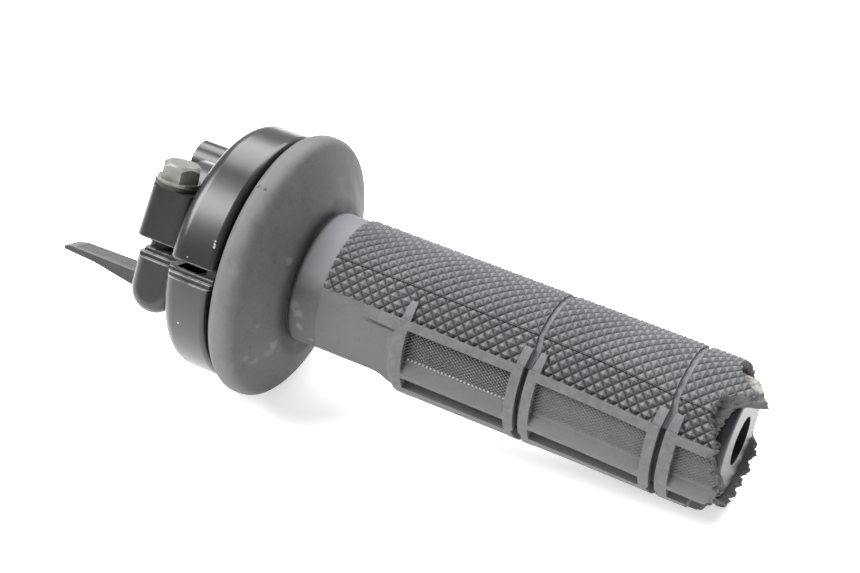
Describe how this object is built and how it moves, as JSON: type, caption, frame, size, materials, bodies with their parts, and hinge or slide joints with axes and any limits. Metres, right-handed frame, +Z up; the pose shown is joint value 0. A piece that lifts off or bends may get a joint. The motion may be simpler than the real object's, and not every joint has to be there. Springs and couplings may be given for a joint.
{
  "type": "throttle grip",
  "caption": "Motorcycle twist throttle: a torn rubber grip on a tube with a cable reel, turning in a split housing that clamps round the handlebar.",
  "frame": {"origin": "middle of the handlebar clamp, on the handlebar's axis", "axes": "+X along the handlebar, out towards the rider's right; -Y the rider's side and +Y the cable side; +Z up with the throttle lying at rest on a table, where the clamp bolts lean 18 degrees towards +Y"},
  "size_m": [0.1654, 0.0674, 0.0608],
  "materials": {
    "case_paint": "gloss black paint on cast aluminium, chipped",
    "weathered_steel": "zinc plated, dulled",
    "washer_steel": "plain",
    "seal_rubber": "matt black",
    "roller_plastic": "natural acetal",
    "bush_brass": "tarnished",
    "guide_plastic": "satin black",
    "tube_plastic": "gloss black",
    "reel_plastic": "black nylon",
    "grip_rubber": "worn mid-grey matt rubber"
  },
  "bodies": {
    "case": {"upper_housing": "case_paint", "lower_housing": "case_paint", "clamp_bolts": "weathered_steel", "bolt_washers": "washer_steel", "dust_seal": "seal_rubber", "roller_axle": "weathered_steel", "roller_washers": "washer_steel", "pocket_plug": "seal_rubber", "port_bush": "bush_brass", "cable_guide": "guide_plastic", "guide_screw": "weathered_steel"},
    "twist_grip": {"throttle_tube": "tube_plastic", "cable_reel": "reel_plastic", "reel_washer": "washer_steel", "grip_rubber": "grip_rubber"},
    "roller": {"cable_roller": "roller_plastic"}
  },
  "joints": [
    {"name": "throttle_twist", "type": "hinge", "parent": "case", "child": "twist_grip", "pos_m": [0, 0, 0], "axis": [1, 0, 0], "range_deg": [0, 72]},
    {"name": "roller_spin", "type": "hinge", "parent": "case", "child": "roller", "pos_m": [0.006, 0.02705, 0.00008], "axis": [0, 0.6263, 0.7796], "range_deg": [-267, 0]}
  ],
  "couplings": [
    {"joint": "roller_spin", "follows": "throttle_twist", "ratio": -3.6957}
  ]
}
